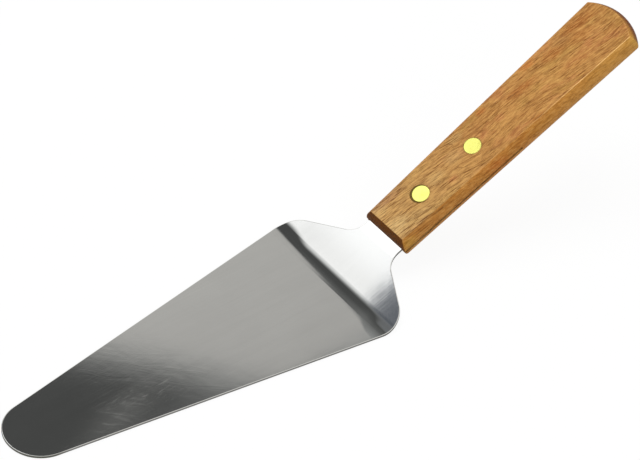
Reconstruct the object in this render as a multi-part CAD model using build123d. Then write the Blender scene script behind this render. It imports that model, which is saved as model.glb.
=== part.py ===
from build123d import *
from math import acos, atan2, cos, hypot, radians, sin, tan
import os

# Pie server: a bent steel blade, a slotted wooden handle and two brass rivets.
# Lengths are in millimetres and angles in degrees.
# X runs from the tip to the handle, Y to the left and Z up.
# The origin is the middle of the blade's flat underside, half way from the tip to the crease.

# Steel sheet, seen from above
sheet = 1.0                 # thickness of the steel
blade_length = 137.0        # from the tip to the crease
blade_width = 63.5          # over both side edges, at the crease
tip_radius = 13.0           # round end of the blade
shoulder_reach = 5.2        # from the crease to the corner where the edge turns in
shoulder_radius = 10.8      # rounding of that corner
neck_reach = 17.4           # from the crease to the corner where the neck begins
neck_radius = 7.0           # hollow rounding of that corner
neck_width = 18.0           # neck and tang
rim_ease = 0.3              # polished rounding of the stamped edge, on both faces
tang_length = 52.5          # how far the tang goes into the handle
tang_corner = 4.0           # rounding of the tang's buried corners

# Steel sheet, seen from the side
neck_rise = 21.0            # slope of the neck above the blade
handle_rise = 26.7          # slope of the tang and the handle above the blade
crease_radius = 18.0        # gentle bend across the shoulders, to the middle of the sheet
neck_bend_radius = 40.0     # slight second bend in front of the handle
neck_length = 22.0          # from the crease to the second bend
neck_gap = 2.8              # from the second bend to the front of the handle

# Wooden handle
handle_length = 115.2       # along its middle
handle_thickness = 9.0      # between the flat faces
front_width = 21.2          # widest, at the front
butt_width = 26.4           # widest, at the butt
edge_bulge = 2.0            # how far the rounded sides and ends stand past the flat faces
butt_radius = 21.0          # the butt's arc, seen from above
edge_ease = 0.45            # sanded rounding of every ridge and corner

# Saw kerf for the tang
kerf_spare = 3.0            # how much deeper the kerf is than the tang
kerf_clearance = 0.05       # between the steel and each side of the kerf

# Two-part rivets
front_rivet_place = 18.5    # from the front of the handle
rear_rivet_place = 43.4
rivet_head = 6.5            # diameter
rivet_head_height = 1.2
rivet_sleeve = 4.0          # outer diameter of the hollow shank
rivet_pin = 2.6             # diameter of the solid shank
rivet_recess = 0.05         # the heads lie this much below the wood
rivet_end_gap = 0.5         # left at the end of each shank
pin_clearance = 0.02        # solid shank in the hollow one, all round
sleeve_clearance = 0.05     # hollow shank in the wood and the tang, all round
head_clearance = 0.05       # head in its counterbore, all round
head_edge = 0.06            # chamfer round each head

# One overrun for every cut
overrun = 5.0

# Places that follow from the sizes
tip_x = -blade_length / 2
crease_x = blade_length / 2
tip_centre_x = tip_x + tip_radius
tip_to_crease = crease_x - tip_centre_x
half_blade = blade_width / 2
half_neck = neck_width / 2
half_handle = handle_thickness / 2
side_angle = acos(tip_radius / hypot(half_blade, tip_to_crease)) - atan2(tip_to_crease, half_blade)


def step_along(start, rise, length):
    """Point reached from start by going a length up a slope, in the XZ plane."""
    return (start[0] + length * cos(radians(rise)), start[1] + length * sin(radians(rise)))


# The middle line of the sheet, as X and Z
crease = (crease_x, sheet / 2)
neck_bend = step_along(crease, neck_rise, neck_length)
handle_front = step_along(neck_bend, handle_rise, neck_gap)
tang_end = step_along(handle_front, handle_rise, tang_length)

# The handle is built flat about its front and carried up onto the tang
handle_plane = Plane(
    origin=(handle_front[0], 0, handle_front[1]),
    x_dir=(cos(radians(handle_rise)), 0, sin(radians(handle_rise))),
    z_dir=(-sin(radians(handle_rise)), 0, cos(radians(handle_rise))),
)
rivet_places = {"front": front_rivet_place, "rear": rear_rivet_place}


def edge_y(x):
    """Half width of the blade's straight edge, carried on past the crease."""
    return tip_radius / cos(side_angle) + (x - tip_centre_x) * tan(side_angle)


def blade_outline():
    """Outline of blade, shoulders, neck and tang, seen from above."""
    tangent_x = tip_centre_x - tip_radius * sin(side_angle)
    tangent_y = tip_radius * cos(side_angle)
    shoulder_x = crease_x + shoulder_reach
    left = [
        (tangent_x, tangent_y),
        (shoulder_x, edge_y(shoulder_x)),
        (crease_x + neck_reach, half_neck),
        (tang_end[0], half_neck),
    ]
    right = [(x, -y) for x, y in reversed(left)]
    corner_radii = [shoulder_radius, neck_radius, tang_corner]
    sides = FilletPolyline(*left, *right, radius=[*corner_radii, *reversed(corner_radii)])
    tip = ThreePointArc(right[-1], (tip_x, 0), left[0])
    return make_face([*sides.edges(), tip])


def bent_sheet():
    """The sheet bent up twice, wide enough to cut the blade from."""
    beyond = step_along(tang_end, handle_rise, overrun)
    middle_line = FilletPolyline(
        (tip_x - overrun, crease[1]), crease, neck_bend, beyond,
        radius=[crease_radius, neck_bend_radius],
    )
    return extrude(Plane.XZ * trace(middle_line, sheet), blade_width, both=True)


def blade():
    """Blade, neck and tang in one piece of steel, with a hole for each rivet."""
    height = tang_end[1] + overrun
    body = bent_sheet() & extrude(blade_outline(), height, both=True)
    rims = body.edges().filter_by(Axis.Z, reverse=True).filter_by(Axis.Y, reverse=True)
    body = fillet(rims, rim_ease)
    hole = Cylinder(rivet_sleeve / 2 + sleeve_clearance, handle_thickness)
    for place in rivet_places.values():
        body -= handle_plane * Pos(place, 0, 0) * hole
    return body


def handle_section(x):
    """Cross-section of the handle at x: flat top and bottom, arcs at the sides."""
    widest = (front_width + (butt_width - front_width) * x / handle_length) / 2
    flat = widest - edge_bulge
    outline = [
        Line((-flat, half_handle), (flat, half_handle)),
        ThreePointArc((flat, half_handle), (widest, 0), (flat, -half_handle)),
        Line((flat, -half_handle), (-flat, -half_handle)),
        ThreePointArc((-flat, -half_handle), (-widest, 0), (-flat, half_handle)),
    ]
    return Plane.YZ.offset(x) * make_face(outline)


def handle_ends():
    """A block as long as the handle, with the rounded front and the round butt."""
    butt_centre = handle_length - butt_radius
    front = [
        ThreePointArc((edge_bulge, -half_handle), (0, 0), (edge_bulge, half_handle)),
        Polyline((edge_bulge, half_handle), (butt_centre, half_handle),
                 (butt_centre, -half_handle), (edge_bulge, -half_handle)),
    ]
    rim_x = butt_radius - edge_bulge
    rim = [
        Polyline((rim_x, half_handle), (0, half_handle), (0, -half_handle), (rim_x, -half_handle)),
        ThreePointArc((rim_x, -half_handle), (butt_radius, 0), (rim_x, half_handle)),
    ]
    block = extrude(Plane.XZ * make_face(front), rim_x, both=True)
    disc = revolve(Plane.XZ * make_face(rim), Axis.Z)
    return block + Pos(butt_centre, 0, 0) * disc


def handle_blank():
    """The wooden handle before it is sawn and drilled, with every edge eased."""
    far_x = handle_length + overrun
    sides = loft([handle_section(-overrun), handle_section(far_x)], ruled=True)
    body = sides & handle_ends()
    return fillet(body.edges(), edge_ease)


def handle():
    """Handle with its kerf and the stepped rivet holes."""
    body = handle_blank()
    kerf_box = Box(
        tang_length + kerf_spare + overrun, butt_width + overrun, sheet + 2 * kerf_clearance,
        align=(Align.MIN, Align.CENTER, Align.CENTER),
    )
    body -= Pos(-overrun, 0, 0) * kerf_box
    bore = Cylinder(rivet_sleeve / 2 + sleeve_clearance, handle_thickness + overrun)
    seat_depth = rivet_head_height + rivet_recess
    seat = Cylinder(
        rivet_head / 2 + head_clearance, seat_depth + overrun,
        align=(Align.CENTER, Align.CENTER, Align.MIN),
    )
    for place in rivet_places.values():
        body -= Pos(place, 0, 0) * bore
        body -= Pos(place, 0, half_handle - seat_depth) * seat
        body -= Pos(place, 0, seat_depth - half_handle) * Rot(180, 0, 0) * seat
    return handle_plane * body


def rivet_disc():
    """Flat rivet head standing on the XY plane, chamfered round its outer rim."""
    up = (Align.CENTER, Align.CENTER, Align.MIN)
    disc = Cylinder(rivet_head / 2, rivet_head_height, align=up)
    rim = disc.edges().filter_by(GeomType.CIRCLE).sort_by(Axis.Z)[-1]
    return chamfer(rim, head_edge)


# Height of the underside of each head above the middle of the handle
head_seat = half_handle - rivet_recess - rivet_head_height


def rivet_stud(place):
    """Upper half of a rivet: head in the top face and a solid shank."""
    shank_length = 2 * head_seat - rivet_end_gap
    shank = Cylinder(rivet_pin / 2, shank_length, align=(Align.CENTER, Align.CENTER, Align.MAX))
    return handle_plane * Pos(place, 0, head_seat) * (rivet_disc() + shank)


def rivet_sleeve_half(place):
    """Lower half of a rivet: head in the bottom face and a hollow shank."""
    up = (Align.CENTER, Align.CENTER, Align.MIN)
    tube = Cylinder(rivet_sleeve / 2, 2 * head_seat - rivet_end_gap, align=up)
    bore = Cylinder(rivet_pin / 2 + pin_clearance, 2 * head_seat, align=up)
    head = Rot(180, 0, 0) * rivet_disc()
    return handle_plane * Pos(place, 0, -head_seat) * (head + tube - bore)


pieces = {"blade": blade(), "handle": handle()}
for name, place in rivet_places.items():
    pieces[f"{name}_rivet_stud"] = rivet_stud(place)
    pieces[f"{name}_rivet_sleeve"] = rivet_sleeve_half(place)

os.makedirs("parts", exist_ok=True)
for name, piece in pieces.items():
    export_step(piece.solid(), f"parts/{name}.step")
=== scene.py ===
from math import cos, radians, sin

import bmesh
import bpy
from mathutils import Matrix, Vector

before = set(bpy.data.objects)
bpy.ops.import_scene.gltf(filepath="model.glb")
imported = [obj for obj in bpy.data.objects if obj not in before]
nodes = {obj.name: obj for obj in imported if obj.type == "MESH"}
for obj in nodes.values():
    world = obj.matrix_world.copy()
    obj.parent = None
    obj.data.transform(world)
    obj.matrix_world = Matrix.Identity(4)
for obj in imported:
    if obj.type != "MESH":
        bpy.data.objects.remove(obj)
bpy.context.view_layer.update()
print("frame loaded:", sorted(nodes))

millimetre = 0.001


class Sock:
    # wraps a socket, so that masks are written as plain sums
    def __init__(self, graph, socket):
        self.graph = graph
        self.socket = socket

    def math(self, operation, *others):
        return self.graph.node("ShaderNodeMath", {"operation": operation}, self, *others)

    def __add__(self, other):
        return self.math("ADD", other)

    def __radd__(self, other):
        return self.math("ADD", other)

    def __sub__(self, other):
        return self.math("SUBTRACT", other)

    def __rsub__(self, other):
        return self.graph.node("ShaderNodeMath", {"operation": "SUBTRACT"}, other, self)

    def __mul__(self, other):
        return self.math("MULTIPLY", other)

    def __rmul__(self, other):
        return self.math("MULTIPLY", other)

    def abs(self):
        return self.math("ABSOLUTE")

    def min(self, other):
        return self.math("MINIMUM", other)

    def max(self, other):
        return self.math("MAXIMUM", other)

    def clamp(self):
        settings = {"operation": "ADD", "use_clamp": True}
        return self.graph.node("ShaderNodeMath", settings, self, 0.0)

    def step(self, low, high):
        # smooth 0 to 1 from low to high; high may be the smaller one
        settings = {"interpolation_type": "SMOOTHSTEP"}
        return self.graph.node("ShaderNodeMapRange", settings, self, low, high, 0.0, 1.0)


class Graph:
    # one material or world and its nodes
    def __init__(self, owner):
        owner.use_nodes = True
        self.tree = owner.node_tree
        self.tree.nodes.clear()

    def node(self, kind, settings=None, *values, out=None, **named):
        # any node: its type, its settings, then its sockets in order or by name
        made = self.tree.nodes.new(kind)
        for key, value in (settings or {}).items():
            if key == "stops":
                self.setStops(made.color_ramp, value)
            else:
                setattr(made, key, value)
        sockets = [s for s in made.inputs if s.enabled]
        for socket, value in zip(sockets, values):
            self.feed(socket, value)
        for key, value in named.items():
            self.feed(next(s for s in sockets if s.name == key.replace("_", " ")), value)
        outputs = [s for s in made.outputs if s.enabled]
        if not outputs:
            return None
        return Sock(self, made.outputs[out] if out else outputs[0])

    def feed(self, socket, value):
        if isinstance(value, Sock):
            self.tree.links.new(value.socket, socket)
        else:
            socket.default_value = value

    def setStops(self, ramp, stops):
        # grey stops, each a place and a level
        while len(ramp.elements) < len(stops):
            ramp.elements.new(1.0)
        for element, (place, level) in zip(ramp.elements, stops):
            element.position = place
            element.color = (level, level, level, 1.0)

    def mix(self, factor, a, b):
        settings = {"data_type": "RGBA", "clamp_factor": True}
        return self.node("ShaderNodeMix", settings, factor, paint(a), paint(b))

    def vector(self, operation, *values, **named):
        return self.node("ShaderNodeVectorMath", {"operation": operation}, *values, **named)

    def mapping(self, vectorType, place, **named):
        return self.node("ShaderNodeMapping", {"vector_type": vectorType}, Vector=place, **named)

    def noise(self, place, scale, detail, rough, distortion=0.0):
        return self.node("ShaderNodeTexNoise", {}, Vector=place, Scale=scale, Detail=detail,
                         Roughness=rough, Distortion=distortion)

    def bump(self, height, depth, strength, **under):
        return self.node("ShaderNodeBump", {}, Strength=strength, Distance=depth, Height=height,
                         **under)

    def objectPlace(self):
        return self.node("ShaderNodeTexCoord", out="Object")

    def facing(self):
        return self.node("ShaderNodeTexCoord", out="Normal")

    def axis(self, place, name):
        return self.node("ShaderNodeSeparateXYZ", {}, place, out=name)


def paint(colour):
    # a colour written as three sRGB numbers up to 255, or a socket
    if isinstance(colour, Sock):
        return colour
    return (*[linear(c) for c in colour], 1.0)


def linear(c):
    # the sRGB curve
    c = c / 255
    return c / 12.92 if c <= 0.04045 else ((c + 0.055) / 1.055) ** 2.4


def material(name):
    made = bpy.data.materials.new(name)
    return made, Graph(made)


def dress(nodeNames, mat):
    for name in nodeNames:
        mesh = nodes[name].data
        mesh.materials.clear()
        mesh.materials.append(mat)


cameraValues = {
    "target": (0.08021, 0.02174, 0.00108),
    "azimuth": -132.396,                # degrees
    "elevation": 43.4705,
    "roll": 5.599,
    "distance": 1.25179,                # metres from the target
    "lens": 199.72,                     # mm, for the sensor's width below
    "sensor": 36.0,
    "clip": (0.05, 50.0),
}


def addCamera(v):
    az, el, roll = (radians(v[k]) for k in ("azimuth", "elevation", "roll"))
    back = Vector((cos(el) * cos(az), cos(el) * sin(az), sin(el)))
    level = Vector((0, 0, 1)).cross(back).normalized()
    upright = back.cross(level)
    right = cos(roll) * level + sin(roll) * upright
    up = cos(roll) * upright - sin(roll) * level
    data = bpy.data.cameras.new("camera")
    data.sensor_width = v["sensor"]
    data.lens = v["lens"]
    data.clip_start, data.clip_end = v["clip"]
    camera = bpy.data.objects.new("camera", data)
    turn = Matrix((right, up, back)).transposed().to_4x4()
    camera.matrix_world = Matrix.Translation(Vector(v["target"]) + back * v["distance"]) @ turn
    bpy.context.scene.collection.objects.link(camera)
    bpy.context.scene.camera = camera


addCamera(cameraValues)
print("camera placed")

anyDepth = 1000000.0    # a reach so long that the depth doesn't count


def near(g, coords, place, reach=(1.0, 1.0, anyDepth), turn=0.0):
    # distance from a place, in units of the reach: metres, unless one is given
    moved = g.mapping("TEXTURE", coords, Location=place, Rotation=(0.0, 0.0, radians(turn)),
                      Scale=reach)
    return g.vector("LENGTH", moved, out="Value")


def spot(g, coords, place, reach, turn, core=0.2):
    # 1 in the core of an ellipse, 0 at its rim
    return near(g, coords, place, reach, turn).step(1.0, core)


def brushed(g, place, along, across, detail, rough):
    # noise drawn out along X
    lines = g.mapping("POINT", place, Scale=(along, across, along))
    return g.noise(lines, 1.0, detail, rough)


def drawnOut(g, place, turn, along, across, detail, rough):
    # noise drawn out in a turned direction and slightly curled
    turned = g.mapping("TEXTURE", place, Rotation=(0.0, 0.0, radians(turn)),
                       Scale=(1.0 / along, 1.0 / across, 1.0 / across))
    return g.noise(turned, 1.0, detail, rough, distortion=1.2)


# a noise is given by its cells per metre, along and across where it is drawn out, its detail and
# its roughness; the pair of numbers of a mask says where it begins and where it is full
steelValues = {
    "light": (209, 208, 204),
    "dark": (196, 195, 191),
    "brushing": (16.0, 2400.0, 3.0, 0.6),   # fine lines along the blade
    "brushingShare": 0.55,              # how much they change the tone
    "bands": (25.0, 260.0, 2.0, 0.5),   # broader lines
    "bandShare": 0.45,
    "smudge": (38.0, 3.0, 0.55),        # faint smudges
    "smudgeShare": 0.8,
    "scratchDepth": 0.0000018,          # of the fine lines, in metres
    "scratchStrength": 0.6,
    "wave": (120.0, 2.0, 0.5),          # slight unevenness of the sheet
    "waveDepth": 0.000006,
    "roughness": 0.048,
    "leastRoughness": 0.03,
    "brushingSpread": 0.03,             # change of roughness by the fine lines
    "smudgeSpread": 0.03,               # and by the smudges
    "neck": (222, 221, 218),            # brighter in front of the handle
    "neckShare": 0.85,
    "neckReach": (72.0, 88.0),          # mm along the blade
    # dull patch near the tip
    "rubbed": (-0.036, -0.0130, 0.0),
    "rubbedReach": (0.032, 0.0135, 1.0),
    "rubbedTurn": 18.0,
    "rubbedHaze": 0.100,
    "rubbedShare": 0.75,                # the even part of it, the rest is wisps
    "wisps": (90.0, 300.0, 3.0, 0.6),
    "wispMask": (0.48, 0.70),
    "wispShare": 0.55,
    # short scratches behind it
    "scuffs": (-0.019, -0.005, 0.0),
    "scuffReach": (0.028, 0.013, 1.0),
    "scuffTurn": -20.0,
    "scuffHaze": 0.055,
    "scuffLines": (150.0, 1500.0, 1.0, 0.5),
    "scuffLineTurn": 4.0,
    "scuffMask": (0.62, 0.72),
    # wiping marks across the front half
    "wipes": (60.0, 240.0, 3.0, 0.6),
    "wipeTurn": -46.0,
    "wipeReach": (25.0, -5.0),          # mm along the blade
    "wipeDepth": 0.000003,
    # the stamped rim, rougher than the faces and darker as painted shade: masks are of how far the
    # surface faces up
    "rim": (113, 112, 109),
    "rimMask": (0.80, 0.35),
    "rimRoughness": 0.36,
    "rimShoulderShade": (84, 83, 81),        # painted shade, darker round the shoulders
    "shoulderReach": (58.0, 70.0),      # mm along the blade
    "rimTipShade": (84, 84, 76),             # painted shade, darker and wider round the tip
    "tipMask": (0.98, 0.80),
    "tipShare": 0.85,
    "tipReach": (-50.0, -60.0),
    "nick": (900.0, 3.0, 0.6),          # small nicks
    "nickShare": 0.3,
    # the bend: mm along the blade and mm across it
    "bendHaze": 0.030,                  # extra roughness where the bend begins
    "hazeStart": (63.0, 64.5),
    "hazeEnd": (68.5, 66.5),
    "bendStart": 65.16,                 # where the modelled bend begins
    "bendReach": 6.27,                  # and how long it is
    "bendAngle": 0.3665,                # radians
    "bendEarly": (70.5, 67.0),          # its first part, which is skew
    "bendSkew": 0.040,                  # mm along for each mm across
    "rightBuckle": (-19.0, -27.0),      # the first part comes later at the right edge
    "rightShift": 1.3,
    "leftBuckle": (16.0, 28.0),         # and the rest later at the left edge
    "leftShift": 1.8,
    # the pressed bend as it came out: mm along the blade, part of the angle reached
    "pressed": [(63.8, 0.0), (65.0, 0.06), (66.4, 0.17), (67.8, 0.32), (70.0, 0.70), (71.6, 1.0)],
}


def pressedBend(g, v):
    # normal of the bend with its soft start, which runs a little skew and buckles at both edges
    place = g.objectPlace()
    x = g.axis(place, "X") * (1 / millimetre)
    y = g.axis(place, "Y") * (1 / millimetre)
    early = x.step(*v["bendEarly"])
    skew = y * v["bendSkew"] - y.step(*v["rightBuckle"]) * v["rightShift"]
    moved = x - skew * early - y.step(*v["leftBuckle"]) * v["leftShift"] * (1.0 - early)
    first, last = v["pressed"][0][0], v["pressed"][-1][0]
    stops = [((reach - first) / (last - first), part) for reach, part in v["pressed"]]
    reached = g.node("ShaderNodeValToRGB", {"stops": stops}, (moved - first) * (1 / (last - first)))
    modelled = ((x - v["bendStart"]) * (1 / v["bendReach"])).clamp()
    lean = (reached - modelled) * v["bendAngle"]
    normal = g.node("ShaderNodeNewGeometry", out="Normal")
    uphill = g.vector("CROSS_PRODUCT", (0.0, 1.0, 0.0), normal)
    tilted = g.vector("SUBTRACT", normal, g.vector("SCALE", uphill, Scale=lean))
    return g.vector("NORMALIZE", tilted)


def steelRoughness(g, v, place, along, fine, smudge):
    rough = v["roughness"] + (fine - 0.5) * v["brushingSpread"]
    rough = rough + (smudge - 0.5) * v["smudgeSpread"]
    rough = rough + along.step(*v["hazeStart"]) * along.step(*v["hazeEnd"]) * v["bendHaze"]
    # rubbed dull near the tip
    wisps = drawnOut(g, place, v["wipeTurn"], *v["wisps"]).step(*v["wispMask"])
    rubbed = spot(g, place, v["rubbed"], v["rubbedReach"], v["rubbedTurn"], core=0.0)
    rough = rough + rubbed * (v["rubbedShare"] + wisps * v["wispShare"]) * v["rubbedHaze"]
    # short scratches along the blade
    scratches = drawnOut(g, place, v["scuffLineTurn"], *v["scuffLines"])
    scuffed = spot(g, place, v["scuffs"], v["scuffReach"], v["scuffTurn"])
    return rough + scuffed * scratches.step(*v["scuffMask"]) * v["scuffHaze"]


def steelBumps(g, v, place, along, fine):
    # the bend, the sheet's unevenness, wiping marks and the fine lines, one on the other
    wave = g.noise(place, *v["wave"])
    wiped = drawnOut(g, place, v["wipeTurn"], *v["wipes"]) * along.step(*v["wipeReach"])
    uneven = g.bump(wave, v["waveDepth"], 1.0, Normal=pressedBend(g, v))
    uneven = g.bump(wiped, v["wipeDepth"], 1.0, Normal=uneven)
    return g.bump(fine, v["scratchDepth"], v["scratchStrength"], Normal=uneven)


def steelMaterial(v):
    mat, g = material("brushedSteel")
    place = g.objectPlace()
    along = g.axis(place, "X") * (1 / millimetre)
    fine = brushed(g, place, *v["brushing"])
    bands = brushed(g, place, *v["bands"])
    smudge = g.noise(place, *v["smudge"])
    shade = (fine - 0.5) * v["brushingShare"] + (bands - 0.5) * v["bandShare"]
    shade = (shade + (smudge - 0.5) * v["smudgeShare"] + 0.5).clamp()
    colour = g.mix(shade, v["dark"], v["light"])
    colour = g.mix(along.step(*v["neckReach"]) * v["neckShare"], colour, v["neck"])
    rough = steelRoughness(g, v, place, along, fine, smudge)
    # the rim shows where the surface faces sideways, and its colour is painted shade
    upward = g.axis(g.facing(), "Z").abs()
    atTip = along.step(*v["tipReach"])
    rim = upward.step(*v["rimMask"]).max(upward.step(*v["tipMask"]) * atTip * v["tipShare"])
    nicks = (g.noise(place, *v["nick"]) - 0.5) * v["nickShare"]
    # the rim's tone: painted shade, darkest at the shoulders and the tip
    edge = g.mix(along.step(*v["shoulderReach"]), v["rim"], v["rimShoulderShade"])
    edge = g.mix(atTip, edge, v["rimTipShade"])
    colour = g.mix(rim * (1.0 + nicks), colour, edge)
    rough = (rough * (1.0 - rim) + v["rimRoughness"] * rim).max(v["leastRoughness"])
    bumps = steelBumps(g, v, place, along, fine)
    shader = g.node("ShaderNodeBsdfPrincipled", {}, Base_Color=colour, Metallic=1.0,
                    Roughness=rough, Normal=bumps)
    g.node("ShaderNodeOutputMaterial", {}, Surface=shader)
    return mat


dress(["blade"], steelMaterial(steelValues))
print("steel done")


handleValues = {
    "front": (0.09154, 0.0, 0.00964),   # front of the handle on its middle plane
    "rise": 26.7,                       # slope of the handle, in degrees
    "top": 0.0045,                      # height of its top above that plane
    "rivets": (0.0185, 0.0434),         # from the front, along the handle
    "rivetHead": 0.0065,                # diameter
}


def alongHandle(g, v):
    # Object coordinates turned so that X runs along the handle and Z out of its top
    return g.mapping("TEXTURE", g.objectPlace(), Location=v["front"],
                     Rotation=(0.0, -radians(v["rise"]), 0.0))


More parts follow.
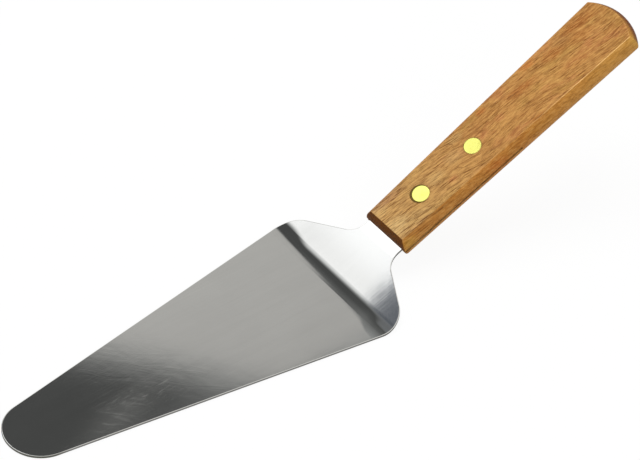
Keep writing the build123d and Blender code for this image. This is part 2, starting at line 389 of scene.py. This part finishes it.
woodValues = {
    # tones
    "light": (197, 144, 79),
    "dark": (173, 119, 62),
    "pink": (184, 116, 70),
    "olive": (182, 140, 70),
    "pale": (201, 163, 104),            # less oiled wood at the front
    "bleached": (214, 180, 122),        # and where it is driest
    "amber": (168, 104, 48),
    "ashen": (164, 118, 86),
    "brown": (152, 104, 56),
    "honey": (208, 162, 78),
    "mustard": (190, 150, 54),
    "rust": (188, 107, 45),
    "side": (185, 119, 46),             # the sawn sides, in painted shade
    "sideRear": (205, 148, 67),         # and their rear half, in lighter painted shade
    "pore": (100, 54, 14),
    "fleck": (218, 168, 98),
    # end grain of the front, darkened also as painted shade
    "frontGrain": (107, 60, 15),
    "buttGrain": (98, 44, 0),
    "endPore": (44, 22, 8),
    # painted highlight along the right ridge
    "paintedRidgeHighlight": (246, 198, 128),
    "stainAndShadowTone": (84, 66, 20),              # darkened wood round the rivets, and the painted shadow by the front rivet
    # the grain
    "grainTurn": -6.0,                  # degrees off the handle's middle line
    "grainDip": 3.0,                    # and off its top
    "lineTurn": -9.0,                   # the long dark lines run this much off
    "wander": (34.0, 1.0, 0.5),         # the grain wanders in waves
    "wanderDepth": 0.005,               # metres
    # noises drawn out along it: cells along and across, detail, roughness, distortion, shift
    "figure": (30.0, 300.0, 4.0, 0.65, 0.5, 0.0),
    "blush": (60.0, 150.0, 3.0, 0.6, 0.3, 3.7),
    "tint": (45.0, 120.0, 3.0, 0.6, 0.3, 8.1),
    "fibre": (38.0, 2900.0, 3.0, 0.62, 0.25, 1.3),
    "lines": (13.0, 3200.0, 1.5, 0.5, 0.35, 17.3),
    "crowd": (40.0, 300.0, 2.0, 0.5, 0.0, 12.4),
    "pores": (66.0, 3100.0, 1.5, 0.5, 0.3, 5.9),
    "crisp": (50.0, 3600.0, 2.0, 0.6, 0.2, 9.3),
    "mottle": (330.0, 1700.0, 3.0, 0.65, 0.0, 2.7),
    "flecks": (260.0, 2700.0, 1.5, 0.5, 0.0, 21.5),
    # masks of these noises, and how strongly each one tells
    "figureMask": (0.34, 0.66),
    "blushMask": (0.50, 0.70),
    "blushShare": 0.58,
    "tintMask": (0.50, 0.70),
    "tintShare": 0.50,
    "darkFibre": (0.50, 0.70),
    "darkFibreShare": 0.43,
    "darkFibreDry": 0.44,               # added where the wood is dry
    "paleFibre": (0.47, 0.26),
    "paleFibreShare": 0.44,
    "paleFibreDry": 0.32,
    "lineMask": (0.56, 0.66),
    "crowdMask": (0.36, 0.54),          # the lines come in crowds
    "poreMask": (0.60, 0.70),
    "poreShare": 0.6,
    "openFibre": (0.35, 0.60),          # pores and lines are darker in dark fibres
    "openShare": 0.28,
    "openFibreShare": 0.36,
    "openDry": 0.32,
    "crispMask": (0.40, 0.60),          # breaks up the marked streaks
    "crispShare": 0.80,
    "streakShare": 0.45,
    "streakStrength": 0.95,
    "mottleDark": (0.47, 0.63),
    "mottleDarkShare": 0.30,
    "mottlePale": (0.50, 0.35),
    "mottlePaleShare": 0.28,
    "fleckMask": (0.60, 0.70),
    "fleckShare": 0.40,
    # where on the handle: metres from its front, and how far the surface faces up or along
    "dryReach": (0.058, 0.0),
    "dryShare": 0.62,
    "sideMask": (0.86, 0.70),
    "sideShare": 0.80,
    "sideRearReach": (0.045, 0.110),
    "sideCalm": 0.35,                   # how much weaker the grain is there
    "ridgeSide": (0.72, 0.82),          # a painted highlight on the ridge, from the side up to the top
    "ridgeTop": (0.995, 0.96),
    "ridgeEnd": (0.30, 0.15),
    "ridgeReach": (0.052, 0.088),
    "ridgeAcross": (0.0, -0.004),
    "ridgeFibre": (0.62, 0.44),
    "ridgeShare": 0.55,
    "ridgeFibreShare": 0.45,
    "frontMask": (0.30, 0.62),          # end grain of the front, with painted shade
    "frontReach": (0.060, 0.050),
    "frontShare": 0.97,
    "buttMask": (0.56, 0.86),           # and of the butt, whose rim is worn round
    "buttReach": (0.050, 0.060),
    "buttShare": 0.95,
    "endPores": (1500.0, 2.0, 0.6),
    "endPoreMask": (0.48, 0.66),
    "endPoreShare": 0.6,
    "figureDepth": 0.009,               # how far below the top the patches and streaks reach
    # stain and a painted shadow: metres outside the rivet's head, strengths
    "ringMask": (0.0010, 0.0001),
    "frontRing": 0.14,
    "rearRing": 0.10,
    # a painted shadow beside the front rivet's head
    "crescentMask": (0.0005, 0.0003),
    "crescentShift": (-0.00035, 0.00025),
    "paintedGapShadow": 0.90,
    # surface
    "roughness": 0.50,
    "figureSpread": 0.15,
    "poreSpread": 0.25,
    "specular": 0.1,
    "grainDepth": 0.00012,              # metres
    "grainStrength": 0.7,
    "fibreHeight": 0.25,
    "poreDepth": 0.6,
    # soft patches of another tone: along, across, length, width in mm, strength, tone
    "patches": [
        (4.0, -3.6, 15.0, 9.0, 0.8, "bleached"), (12.0, -6.4, 14.0, 6.0, 0.6, "pale"),
        (8.0, 8.0, 20.0, 5.0, 0.6, "ashen"), (3.5, 6.0, 9.0, 6.0, 0.4, "bleached"),
        (3.5, -10.8, 8.0, 3.4, 0.5, "mustard"), (9.0, -12.4, 9.0, 2.4, 0.5, "rust"),
        (26.0, 0.5, 10.0, 6.0, 0.6, "pale"), (36.0, 1.8, 10.0, 6.0, 0.5, "pale"),
        (41.0, 7.2, 8.0, 4.0, 0.5, "pale"), (30.0, -4.6, 5.0, 3.0, 0.6, "pink"),
        (49.0, 0.4, 6.0, 4.0, 0.4, "pink"), (57.5, 1.0, 5.0, 3.0, 0.6, "pink"),
        (54.5, 8.0, 5.0, 2.6, 0.6, "rust"), (45.0, -11.4, 12.0, 2.6, 0.6, "rust"),
        (70.0, 3.6, 18.0, 4.2, 0.9, "amber"), (66.0, -9.6, 10.0, 2.6, 0.6, "amber"),
        (78.0, 9.0, 9.0, 3.4, 0.6, "rust"), (87.0, 5.2, 14.0, 5.0, 0.8, "amber"),
        (93.0, 7.6, 9.0, 4.6, 0.8, "brown"), (101.0, 7.6, 18.0, 5.0, 0.8, "amber"),
        (98.0, 3.0, 13.0, 5.0, 0.6, "amber"), (90.0, -3.6, 16.0, 5.0, 0.4, "amber"),
        (106.5, -5.8, 4.6, 3.0, 0.5, "pink"), (112.0, -12.6, 9.0, 4.4, 0.9, "honey"),
        (24.0, -12.2, 10.0, 2.0, 0.4, "amber"),
    ],
    "patchGrowth": (1.2, 1.3),          # all of them longer and wider by this
    # the handle's own dark streaks: along, across, length, width in mm, turn in degrees, strength
    "streaks": [
        (13.7, 6.3, 7.5, 0.8, -7, 0.85), (32.0, 5.7, 9.0, 0.6, -2, 0.6),
        (10.9, 4.1, 9.0, 0.8, -10, 0.75), (26.2, 3.6, 6.0, 1.3, -10, 0.6),
        (32.6, 2.2, 7.0, 0.7, -6, 0.5), (10.6, -1.3, 8.0, 0.9, -1, 0.6),
        (10.0, -4.1, 11.0, 0.6, -4, 0.6), (28.7, -6.9, 9.0, 0.7, -12, 0.75),
        (41.4, -8.6, 11.0, 0.7, -7, 0.75), (28.5, -2.6, 6.0, 1.5, -14, 0.6),
        (17.5, -6.4, 5.0, 1.1, -30, 0.5), (34.6, -3.0, 4.2, 1.0, -60, 0.5),
        (47.2, -6.7, 10.0, 1.6, -10, 0.6), (7.3, -8.8, 11.0, 0.6, -4, 0.75),
        (18.5, -9.7, 14.0, 0.7, -5, 0.6), (38.6, 6.5, 2.8, 1.0, -58, 0.65),
        (55.5, -5.3, 9.0, 0.6, -8, 0.55), (53.0, 3.4, 14.0, 0.7, -6, 0.65),
        (58.0, 2.9, 7.0, 0.8, 2, 0.55), (63.4, 1.9, 6.0, 0.7, -14, 0.5),
        (65.8, 4.2, 9.0, 1.0, -11, 0.6), (68.2, -2.7, 9.0, 0.9, -8, 0.6),
        (80.3, 5.6, 8.0, 1.0, -5, 0.6), (81.5, 1.6, 4.0, 1.0, 0, 0.4),
        (85.0, -3.9, 6.0, 0.6, -4, 0.7), (84.5, -5.2, 6.0, 0.7, -1, 0.85),
        (91.3, -4.6, 5.0, 0.6, -4, 0.55), (66.9, -9.9, 5.0, 0.7, -2, 0.9),
        (77.8, -9.7, 9.0, 0.7, -4, 0.8), (87.5, -10.1, 6.0, 0.7, -10, 1.0),
        (101.0, -1.2, 2.6, 1.0, -20, 0.9), (91.0, 0.9, 5.0, 1.1, -8, 0.6),
        (95.8, 3.4, 3.8, 0.9, -10, 0.6), (106.2, -5.8, 3.2, 1.6, -10, 0.5),
        (111.3, 1.8, 3.6, 0.9, 5, 0.6), (70.2, -8.2, 7.0, 0.7, -14, 0.6),
    ],
    "streakGrowth": (1.15, 0.9),
}


class Wood:
    # the handle's coordinates and directions, and the noises and marks that follow its grain
    def __init__(self, g, v, h):
        self.g = g
        self.v = v
        self.h = h
        self.along = alongHandle(g, h)
        self.reach = g.axis(self.along, "X")
        self.across = g.axis(self.along, "Y")
        wander = g.noise(self.along, *v["wander"]) - 0.5
        sideways = g.node("ShaderNodeCombineXYZ", {}, Y=wander * v["wanderDepth"])
        self.wavy = g.vector("ADD", self.along, sideways)
        lean = radians(h["rise"])
        self.endOn = self.facing((cos(lean), 0.0, sin(lean)))
        self.upward = self.facing((-sin(lean), 0.0, cos(lean)))
        self.dry = self.reach.step(*v["dryReach"])
        # faces turned sideways, which get painted shade and calmer grain
        self.side = self.upward.step(*v["sideMask"])
        self.calm = 1.0 - v["sideCalm"] * self.side
        self.fibre = self.stretched("fibre")

    def facing(self, direction):
        # 1 where the surface faces a direction or away from it, 0 where it runs along it
        return self.g.vector("DOT_PRODUCT", self.g.facing(), direction, out="Value").abs()

    def stretched(self, name, turn=None):
        # one of the noises drawn out along the grain
        lengthways, across, detail, rough, distortion, shift = self.v[name]
        turn = self.v["grainTurn"] if turn is None else turn
        grain = self.g.mapping("TEXTURE", self.wavy,
                               Rotation=(0.0, radians(self.v["grainDip"]), radians(turn)))
        squeezed = self.g.mapping("POINT", grain, Location=(shift, shift, shift),
                                  Scale=(lengthways, across, across))
        return self.g.noise(squeezed, 1.0, detail, rough, distortion)

    def placed(self, a, b, length, width, turn):
        # 1 at a place on the top, 0 at the rim of its ellipse, all in mm
        place = (a * millimetre, b * millimetre, self.h["top"])
        reach = (length / 2 * millimetre, width / 2 * millimetre, self.v["figureDepth"])
        return spot(self.g, self.along, place, reach, turn)


def woodGround(wood, figure):
    # soft figure, blushes of other tones, dry front, sawn sides in painted shade and the patches
    g, v = wood.g, wood.v
    colour = g.mix(figure.step(*v["figureMask"]), v["light"], v["dark"])
    blush = wood.stretched("blush").step(*v["blushMask"])
    colour = g.mix(blush * v["blushShare"], colour, v["pink"])
    tint = wood.stretched("tint").step(*v["tintMask"])
    colour = g.mix(tint * v["tintShare"], colour, v["olive"])
    colour = g.mix(wood.dry * v["dryShare"], colour, v["pale"])
    # painted shade on the sawn sides, lighter towards the rear
    sawn = g.mix(wood.reach.step(*v["sideRearReach"]), v["side"], v["sideRear"])
    colour = g.mix(wood.side * v["sideShare"], colour, sawn)
    longer, wider = v["patchGrowth"]
    for a, b, length, width, strength, tone in v["patches"]:
        patch = wood.placed(a, b, length * longer, width * wider, v["grainTurn"])
        colour = g.mix(patch * strength, colour, v[tone])
    return colour


def woodGrain(wood, colour, poreMask):
    # fibres darker and lighter than the ground, then pores and lines
    g, v = wood.g, wood.v
    dark = wood.fibre.step(*v["darkFibre"]) * (v["darkFibreShare"] + v["darkFibreDry"] * wood.dry)
    colour = g.mix(dark * wood.calm, colour, v["pore"])
    pale = wood.fibre.step(*v["paleFibre"]) * (v["paleFibreShare"] + v["paleFibreDry"] * wood.dry)
    colour = g.mix(pale * wood.calm, colour, v["fleck"])
    opened = v["openShare"] + v["openFibreShare"] * wood.fibre.step(*v["openFibre"])
    opened = (opened + v["openDry"] * wood.dry) * wood.calm
    return g.mix(poreMask * opened, colour, v["pore"])


def woodMarks(wood, colour):
    # the marked streaks broken up by the fibres, mottling and small pale flecks
    g, v = wood.g, wood.v
    longer, wider = v["streakGrowth"]
    streak = None
    for a, b, length, width, turn, strength in v["streaks"]:
        mark = wood.placed(a, b, length * longer, width * wider, turn) * strength
        streak = mark if streak is None else streak.max(mark)
    crisp = wood.stretched("crisp").step(*v["crispMask"])
    streak = streak * (v["streakShare"] + v["crispShare"] * crisp)
    colour = g.mix(streak * v["streakStrength"], colour, v["pore"])
    mottle = wood.stretched("mottle")
    colour = g.mix(mottle.step(*v["mottleDark"]) * v["mottleDarkShare"], colour, v["pore"])
    colour = g.mix(mottle.step(*v["mottlePale"]) * v["mottlePaleShare"], colour, v["fleck"])
    flecks = wood.stretched("flecks").step(*v["fleckMask"])
    return g.mix(flecks * v["fleckShare"], colour, v["fleck"])


def woodEdges(wood, colour):
    # a painted highlight along the ridge, and end grain where the surface cuts the fibres, darker
    # at the front also as painted shade
    g, v = wood.g, wood.v
    ridge = wood.upward.step(*v["ridgeSide"]) * wood.upward.step(*v["ridgeTop"])
    ridge = ridge * wood.endOn.step(*v["ridgeEnd"])
    ridge = ridge * wood.reach.step(*v["ridgeReach"]) * wood.across.step(*v["ridgeAcross"])
    highlightStrength = v["ridgeShare"] + v["ridgeFibreShare"] * wood.fibre.step(*v["ridgeFibre"])
    colour = g.mix(ridge * highlightStrength, colour, v["paintedRidgeHighlight"])
    ends = g.noise(wood.along, *v["endPores"]).step(*v["endPoreMask"]) * v["endPoreShare"]
    for end in ("front", "butt"):
        mask = wood.endOn.step(*v[end + "Mask"]) * wood.reach.step(*v[end + "Reach"])
        grain = g.mix(ends, v[end + "Grain"], v["endPore"])
        colour = g.mix(mask * v[end + "Share"], colour, grain)
    return colour


def woodStainAndShadow(wood, colour):
    # wood darkened by the brass round both rivets, and a painted shadow of the gap on one side of
    # the front rivet
    g, v, h = wood.g, wood.v, wood.h
    head = h["rivetHead"] / 2
    frontRivet, rearRivet = h["rivets"]
    ringFrom, ringTo = v["ringMask"]
    crescentFrom, crescentTo = v["crescentMask"]
    back, left = v["crescentShift"]
    front = near(g, wood.along, (frontRivet, 0.0, 0.0)).step(head + ringFrom, head + ringTo)
    rear = near(g, wood.along, (rearRivet, 0.0, 0.0)).step(head + ringFrom, head + ringTo)
    # painted shadow in the gap beside the front rivet's head
    paintedGapShadow = near(g, wood.along, (frontRivet + back, left, 0.0))
    paintedGapShadow = paintedGapShadow.step(head + crescentFrom, head + crescentTo)
    stainAndShadow = (front * v["frontRing"]).max(rear * v["rearRing"]).max(paintedGapShadow * v["paintedGapShadow"])
    return g.mix(stainAndShadow, colour, v["stainAndShadowTone"])


def woodMaterial(v, h):
    mat, g = material("oiledWood")
    wood = Wood(g, v, h)
    # long thin dark lines in crowds, and shorter open pores
    lines = wood.stretched("lines", v["lineTurn"]).step(*v["lineMask"])
    lines = lines * wood.stretched("crowd").step(*v["crowdMask"])
    poreMask = (wood.stretched("pores").step(*v["poreMask"]) * v["poreShare"]).max(lines)
    figure = wood.stretched("figure")
    colour = woodGround(wood, figure)
    colour = woodGrain(wood, colour, poreMask)
    colour = woodMarks(wood, colour)
    colour = woodEdges(wood, colour)
    colour = woodStainAndShadow(wood, colour)
    height = 0.5 + (wood.fibre - 0.5) * v["fibreHeight"] - poreMask * v["poreDepth"]
    rough = v["roughness"] + (figure - 0.5) * v["figureSpread"] + poreMask * v["poreSpread"]
    shader = g.node("ShaderNodeBsdfPrincipled", {}, Base_Color=colour, Roughness=rough,
                    Specular_IOR_Level=v["specular"],
                    Normal=g.bump(height, v["grainDepth"], v["grainStrength"]))
    g.node("ShaderNodeOutputMaterial", {}, Surface=shader)
    return mat


dress(["handle"], woodMaterial(woodValues, handleValues))
print("wood done")


brassValues = {
    "colour": (226, 223, 118),
    "tarnish": (200, 190, 88),
    "tarnishNoise": (420.0, 3.0, 0.6),
    "tarnishMask": (0.40, 0.85),
    "tarnishShare": 0.5,
    # painted shade round the rim of each head
    "rim": (160, 144, 56),
    "rimWidth": 0.0004,                 # metres
    "rimShare": 0.2,
    "sanding": (300.0, 4000.0, 2.0, 0.6),   # fine lines
    "sandingDepth": 0.000005,
    "sandingStrength": 0.4,
    "roughness": 0.14,
    "sandingSpread": 0.10,
    "rimSpread": 0.15,
}


def brassMaterial(v, h):
    mat, g = material("polishedBrass")
    place = g.objectPlace()
    along = alongHandle(g, h)
    lines = brushed(g, place, *v["sanding"])
    tarnish = g.noise(place, *v["tarnishNoise"]).step(*v["tarnishMask"])
    colour = g.mix(tarnish * v["tarnishShare"], v["colour"], v["tarnish"])
    # painted shade, darker round the rim of each head
    head = h["rivetHead"] / 2
    front, rear = (near(g, along, (reach, 0.0, 0.0)) for reach in h["rivets"])
    rim = front.min(rear).step(head - v["rimWidth"], head)
    colour = g.mix(rim * v["rimShare"], colour, v["rim"])
    rough = v["roughness"] + (lines - 0.5) * v["sandingSpread"] + rim * v["rimSpread"]
    shader = g.node("ShaderNodeBsdfPrincipled", {}, Base_Color=colour, Metallic=1.0,
                    Roughness=rough,
                    Normal=g.bump(lines, v["sandingDepth"], v["sandingStrength"]))
    g.node("ShaderNodeOutputMaterial", {}, Surface=shader)
    return mat


dress([n for n in nodes if "rivet" in n], brassMaterial(brassValues, handleValues))
print("brass done")


def addSheet(name, mat, halfSize, middle, faceDown=False):
    # a flat rectangle of the stage
    mesh = bpy.data.meshes.new(name)
    bm = bmesh.new()
    bmesh.ops.create_grid(bm, x_segments=1, y_segments=1, size=1.0)
    bmesh.ops.scale(bm, verts=bm.verts, vec=(*halfSize, 1.0))
    bmesh.ops.translate(bm, verts=bm.verts, vec=middle)
    if faceDown:
        bmesh.ops.reverse_faces(bm, faces=bm.faces)
    bm.to_mesh(mesh)
    bm.free()
    sheet = bpy.data.objects.new(name, mesh)
    mesh.materials.append(mat)
    bpy.context.scene.collection.objects.link(sheet)
    return sheet


# the card above the table, seen only in the metal: places on it are in metres along X and Y, and
# its tones are levels of light, where 1 is white
cardValues = {
    "middle": (0.4, 0.7, 0.80),
    "halfSize": (0.9, 0.5),
    # dark over the tip and the bend
    "dark": 0.099,
    "tipEdge": (0.4915, 0.603),         # a place on its border with the grey
    "tipAcross": (0.780, 0.626),        # the direction across that border
    "tipMask": (-0.034, 0.018),
    # grey over the blade
    "grey": 0.625,
    "greySlope": 0.6,                   # brighter with greater Y
    "greyEnd": (0.541, 0.551),          # where the bend's dark band begins
    # the dark is a little paler at the far end of that band and near the right shoulder
    "palerSlope": 0.45,
    "fadeMask": (0.578, 0.566),
    "fadeStart": 0.35,
    "cornerLine": (0.451, 0.2266),      # Y where X is 0, slope
    "cornerMask": (-0.034, -0.046),
    "cornerStart": 0.15,
    # white over the neck
    "white": 1.48,
    "whiteMask": (0.214, -0.012),
    "glareStart": -0.024,               # brighter towards the handle
    "glareSlope": 30.0,
    "glareMost": 0.30,
    "whiteFall": (0.505, 0.535),        # and fainter next to the bend
    "whiteFallShare": 0.08,
    "stripeStart": (0.5385, 0.5415),    # but for a thin bright stripe
    "stripeEnd": (0.5490, 0.5460),
    "stripe": 0.22,
    # blue-grey flag over the right shoulder
    "flag": 0.232,
    "flagSlope": 0.55,                  # darker with greater X
    "flagShift": (-0.02, 0.015, 0.21),  # its upper border comes in: from this X, over, slope
    "flagTop": (0.4685, 0.4625),
    "flagBottom": (0.36, 0.40),
    "flagLeft": (-0.12, -0.08),
    "flagRight": (0.20, 0.10),
    "flagShare": 0.8,                   # of its tint
    # tones
    "darkTone": (249, 253, 255),
    "greyTone": (255, 255, 254),
    "whiteTone": (250, 252, 255),
    "flagTone": (222, 234, 255),
}


def cardPaint(v):
    # what the steel mirrors, painted on the card by its place
    mat, g = material("cardPaint")
    place = g.objectPlace()
    x = g.axis(place, "X")
    y = g.axis(place, "Y")
    edgeX, edgeY = v["tipEdge"]
    acrossX, acrossY = v["tipAcross"]
    tip = ((x - edgeX) * acrossX + (y - edgeY) * acrossY).step(*v["tipMask"])
    greyMask = tip * y.step(*v["greyEnd"])
    grey = v["grey"] + (y - edgeY) * v["greySlope"]
    fade = y.step(*v["fadeMask"]) * (x - v["fadeStart"]).clamp() * v["palerSlope"]
    cornerY, cornerSlope = v["cornerLine"]
    corner = (y - cornerY - x * cornerSlope).step(*v["cornerMask"])
    corner = corner * (x - v["cornerStart"]).clamp() * v["palerSlope"]
    dark = v["dark"] + fade + corner
    level = dark + greyMask * (grey - dark)
    # white over the neck
    bright = x.step(*v["whiteMask"])
    stripe = y.step(*v["stripeStart"]) * y.step(*v["stripeEnd"]) * v["stripe"]
    glare = ((v["glareStart"] - x) * v["glareSlope"]).clamp().min(v["glareMost"])
    white = v["white"] + glare - y.step(*v["whiteFall"]) * v["whiteFallShare"] + stripe
    level = level + bright * (white - level)
    # the flag
    shiftStart, shiftMost, shiftSlope = v["flagShift"]
    border = y + (x - shiftStart).clamp().min(shiftMost) * shiftSlope
    flag = border.step(*v["flagTop"]) * y.step(*v["flagBottom"])
    flag = flag * x.step(*v["flagLeft"]) * x.step(*v["flagRight"])
    level = level + flag * (v["flag"] - x.max(0.0) * v["flagSlope"] - level)
    colour = g.mix(greyMask, v["darkTone"], v["greyTone"])
    colour = g.mix(bright, colour, v["whiteTone"])
    colour = g.mix(flag * v["flagShare"], colour, v["flagTone"])
    shader = g.node("ShaderNodeEmission", {}, Color=g.vector("SCALE", colour, Scale=level),
                    Strength=1.0)
    g.node("ShaderNodeOutputMaterial", {}, Surface=shader)
    return mat


def addCard(v):
    card = addSheet("studioCard", cardPaint(v), v["halfSize"], v["middle"], faceDown=True)
    card.visible_camera = False         # only reflections see it
    card.visible_diffuse = False
    card.visible_transmission = False
    card.visible_shadow = False


studioValues = {
    "white": (255, 255, 255),
    "ambient": 0.56,                    # the world's light on dull surfaces
    "floorHalf": 8.0,                   # half its side, in metres
    "floorHeight": -0.0001,
    "floorTone": (206, 206, 206),       # as it lights the object
    "floorSeen": (246, 246, 246),       # as it is seen
    "floorWhite": 0.92,                 # share of plain white in what is seen
    # name, place, target, size, power
    "lamps": [
        ("keyLamp", (0.15, 0.35, 1.1), (0.1, 0.0, 0.0), 0.9, 7.4),
        ("fillLamp", (-0.1, -0.9, 0.7), (0.1, 0.0, 0.02), 0.6, 2.6),
    ],
}


def addLamp(name, place, target, size, power):
    data = bpy.data.lights.new(name, "AREA")
    data.shape = "DISK"
    data.size = size
    data.energy = power
    lamp = bpy.data.objects.new(name, data)
    direction = Vector(target) - Vector(place)
    turn = direction.to_track_quat("-Z", "Y").to_matrix().to_4x4()
    lamp.matrix_world = Matrix.Translation(place) @ turn
    lamp.visible_glossy = False
    bpy.context.scene.collection.objects.link(lamp)


def seenRays(g):
    # 1 for the rays that see the white background: from the camera, off metal and through glass
    kinds = ("Is Camera Ray", "Is Glossy Ray", "Is Transmission Ray")
    camera, glossy, through = (g.node("ShaderNodeLightPath", out=kind) for kind in kinds)
    return (camera + glossy + through).clamp()


def addWorld(v):
    world = bpy.data.worlds.new("whiteRoom")
    bpy.context.scene.world = world
    g = Graph(world)
    strength = v["ambient"] + seenRays(g) * (1.0 - v["ambient"])
    shader = g.node("ShaderNodeBackground", {}, Color=paint(v["white"]), Strength=strength)
    g.node("ShaderNodeOutputWorld", {}, Surface=shader)


def addFloor(v):
    mat, g = material("paleFloor")
    seen = seenRays(g)
    tone = g.mix(seen, v["floorTone"], v["floorSeen"])
    plain = g.node("ShaderNodeBsdfDiffuse", {}, Color=tone)
    white = g.node("ShaderNodeEmission", {}, Color=paint(v["white"]), Strength=1.0)
    shader = g.node("ShaderNodeMixShader", {}, seen * v["floorWhite"], plain, white)
    g.node("ShaderNodeOutputMaterial", {}, Surface=shader)
    halfSize = (v["floorHalf"], v["floorHalf"])
    floor = addSheet("floor", mat, halfSize, (0.0, 0.0, v["floorHeight"]))


addWorld(studioValues)
addFloor(studioValues)
addCard(cardValues)
for lamp in studioValues["lamps"]:
    addLamp(*lamp)
bpy.context.scene.view_settings.view_transform = "Standard"
print("studio done")
